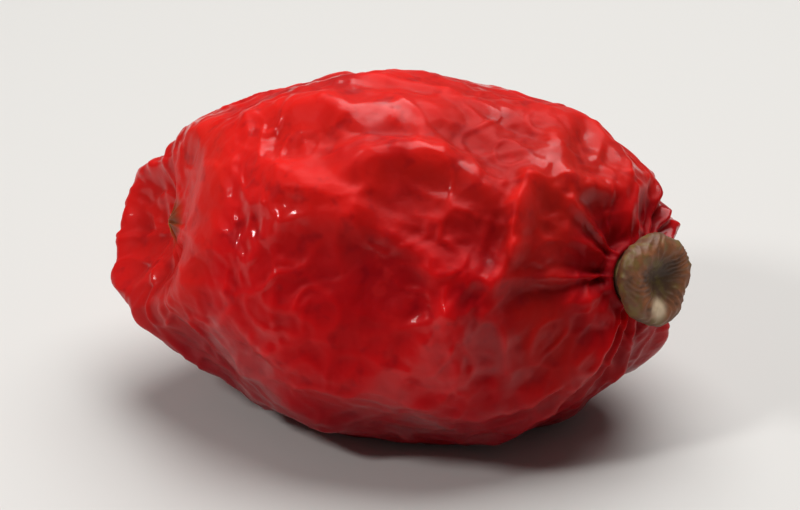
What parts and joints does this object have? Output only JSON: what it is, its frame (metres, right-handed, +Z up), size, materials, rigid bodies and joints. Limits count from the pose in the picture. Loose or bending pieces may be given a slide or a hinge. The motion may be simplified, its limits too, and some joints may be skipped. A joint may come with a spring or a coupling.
{
  "type": "barberry",
  "caption": "Plump dried barberry lying on its side: a glossy red wrinkled fruit with the stalk's dimple at one end and a dry stigma on its tip.",
  "frame": {"origin": "middle of the underside of the whole berry's box, on the surface that the berry rests on", "axes": "+X along the berry from the stalk's dimple to the stigma, +Z up, so that +Y completes the frame"},
  "size_m": [0.0086, 0.0056, 0.0052],
  "materials": {
    "dried_skin": "gloss",
    "dry_stigma": "matte"
  },
  "bodies": {
    "root": {"fruit": "dried_skin", "stigma": "dry_stigma"}
  },
  "joints": []
}
